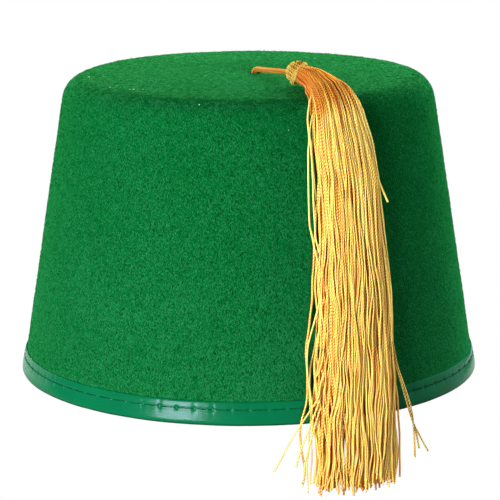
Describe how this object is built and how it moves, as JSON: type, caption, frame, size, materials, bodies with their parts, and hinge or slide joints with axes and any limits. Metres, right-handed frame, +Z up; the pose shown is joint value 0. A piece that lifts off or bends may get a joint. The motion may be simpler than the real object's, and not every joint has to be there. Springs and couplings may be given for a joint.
{
  "type": "felt fez hat",
  "caption": "Brimless felt hat, a short cone with a flat top, a folded glossy rim binding and a thread tassel that hangs from the middle of the top over the edge.",
  "frame": {"origin": "middle of the rim's opening, in the plane of the binding's lower edge, where the hat sits on a head", "axes": "+Z up through the top, -Y the front, +X the wearer's left; the tassel hangs over the edge between -Y and +X"},
  "size_m": [0.191, 0.1934, 0.1617],
  "materials": {
    "felt": "matte napped felt",
    "binding_vinyl": "glossy soft vinyl tape",
    "cord_thread": "satin rayon cord",
    "tassel_thread": "satin twisted rayon thread"
  },
  "bodies": {
    "root": {"crown": "felt", "rim_binding": "binding_vinyl", "tassel_cord": "cord_thread", "cord_anchor": "cord_thread", "tassel_knot": "tassel_thread", "tassel_skirt": "tassel_thread"}
  },
  "joints": []
}
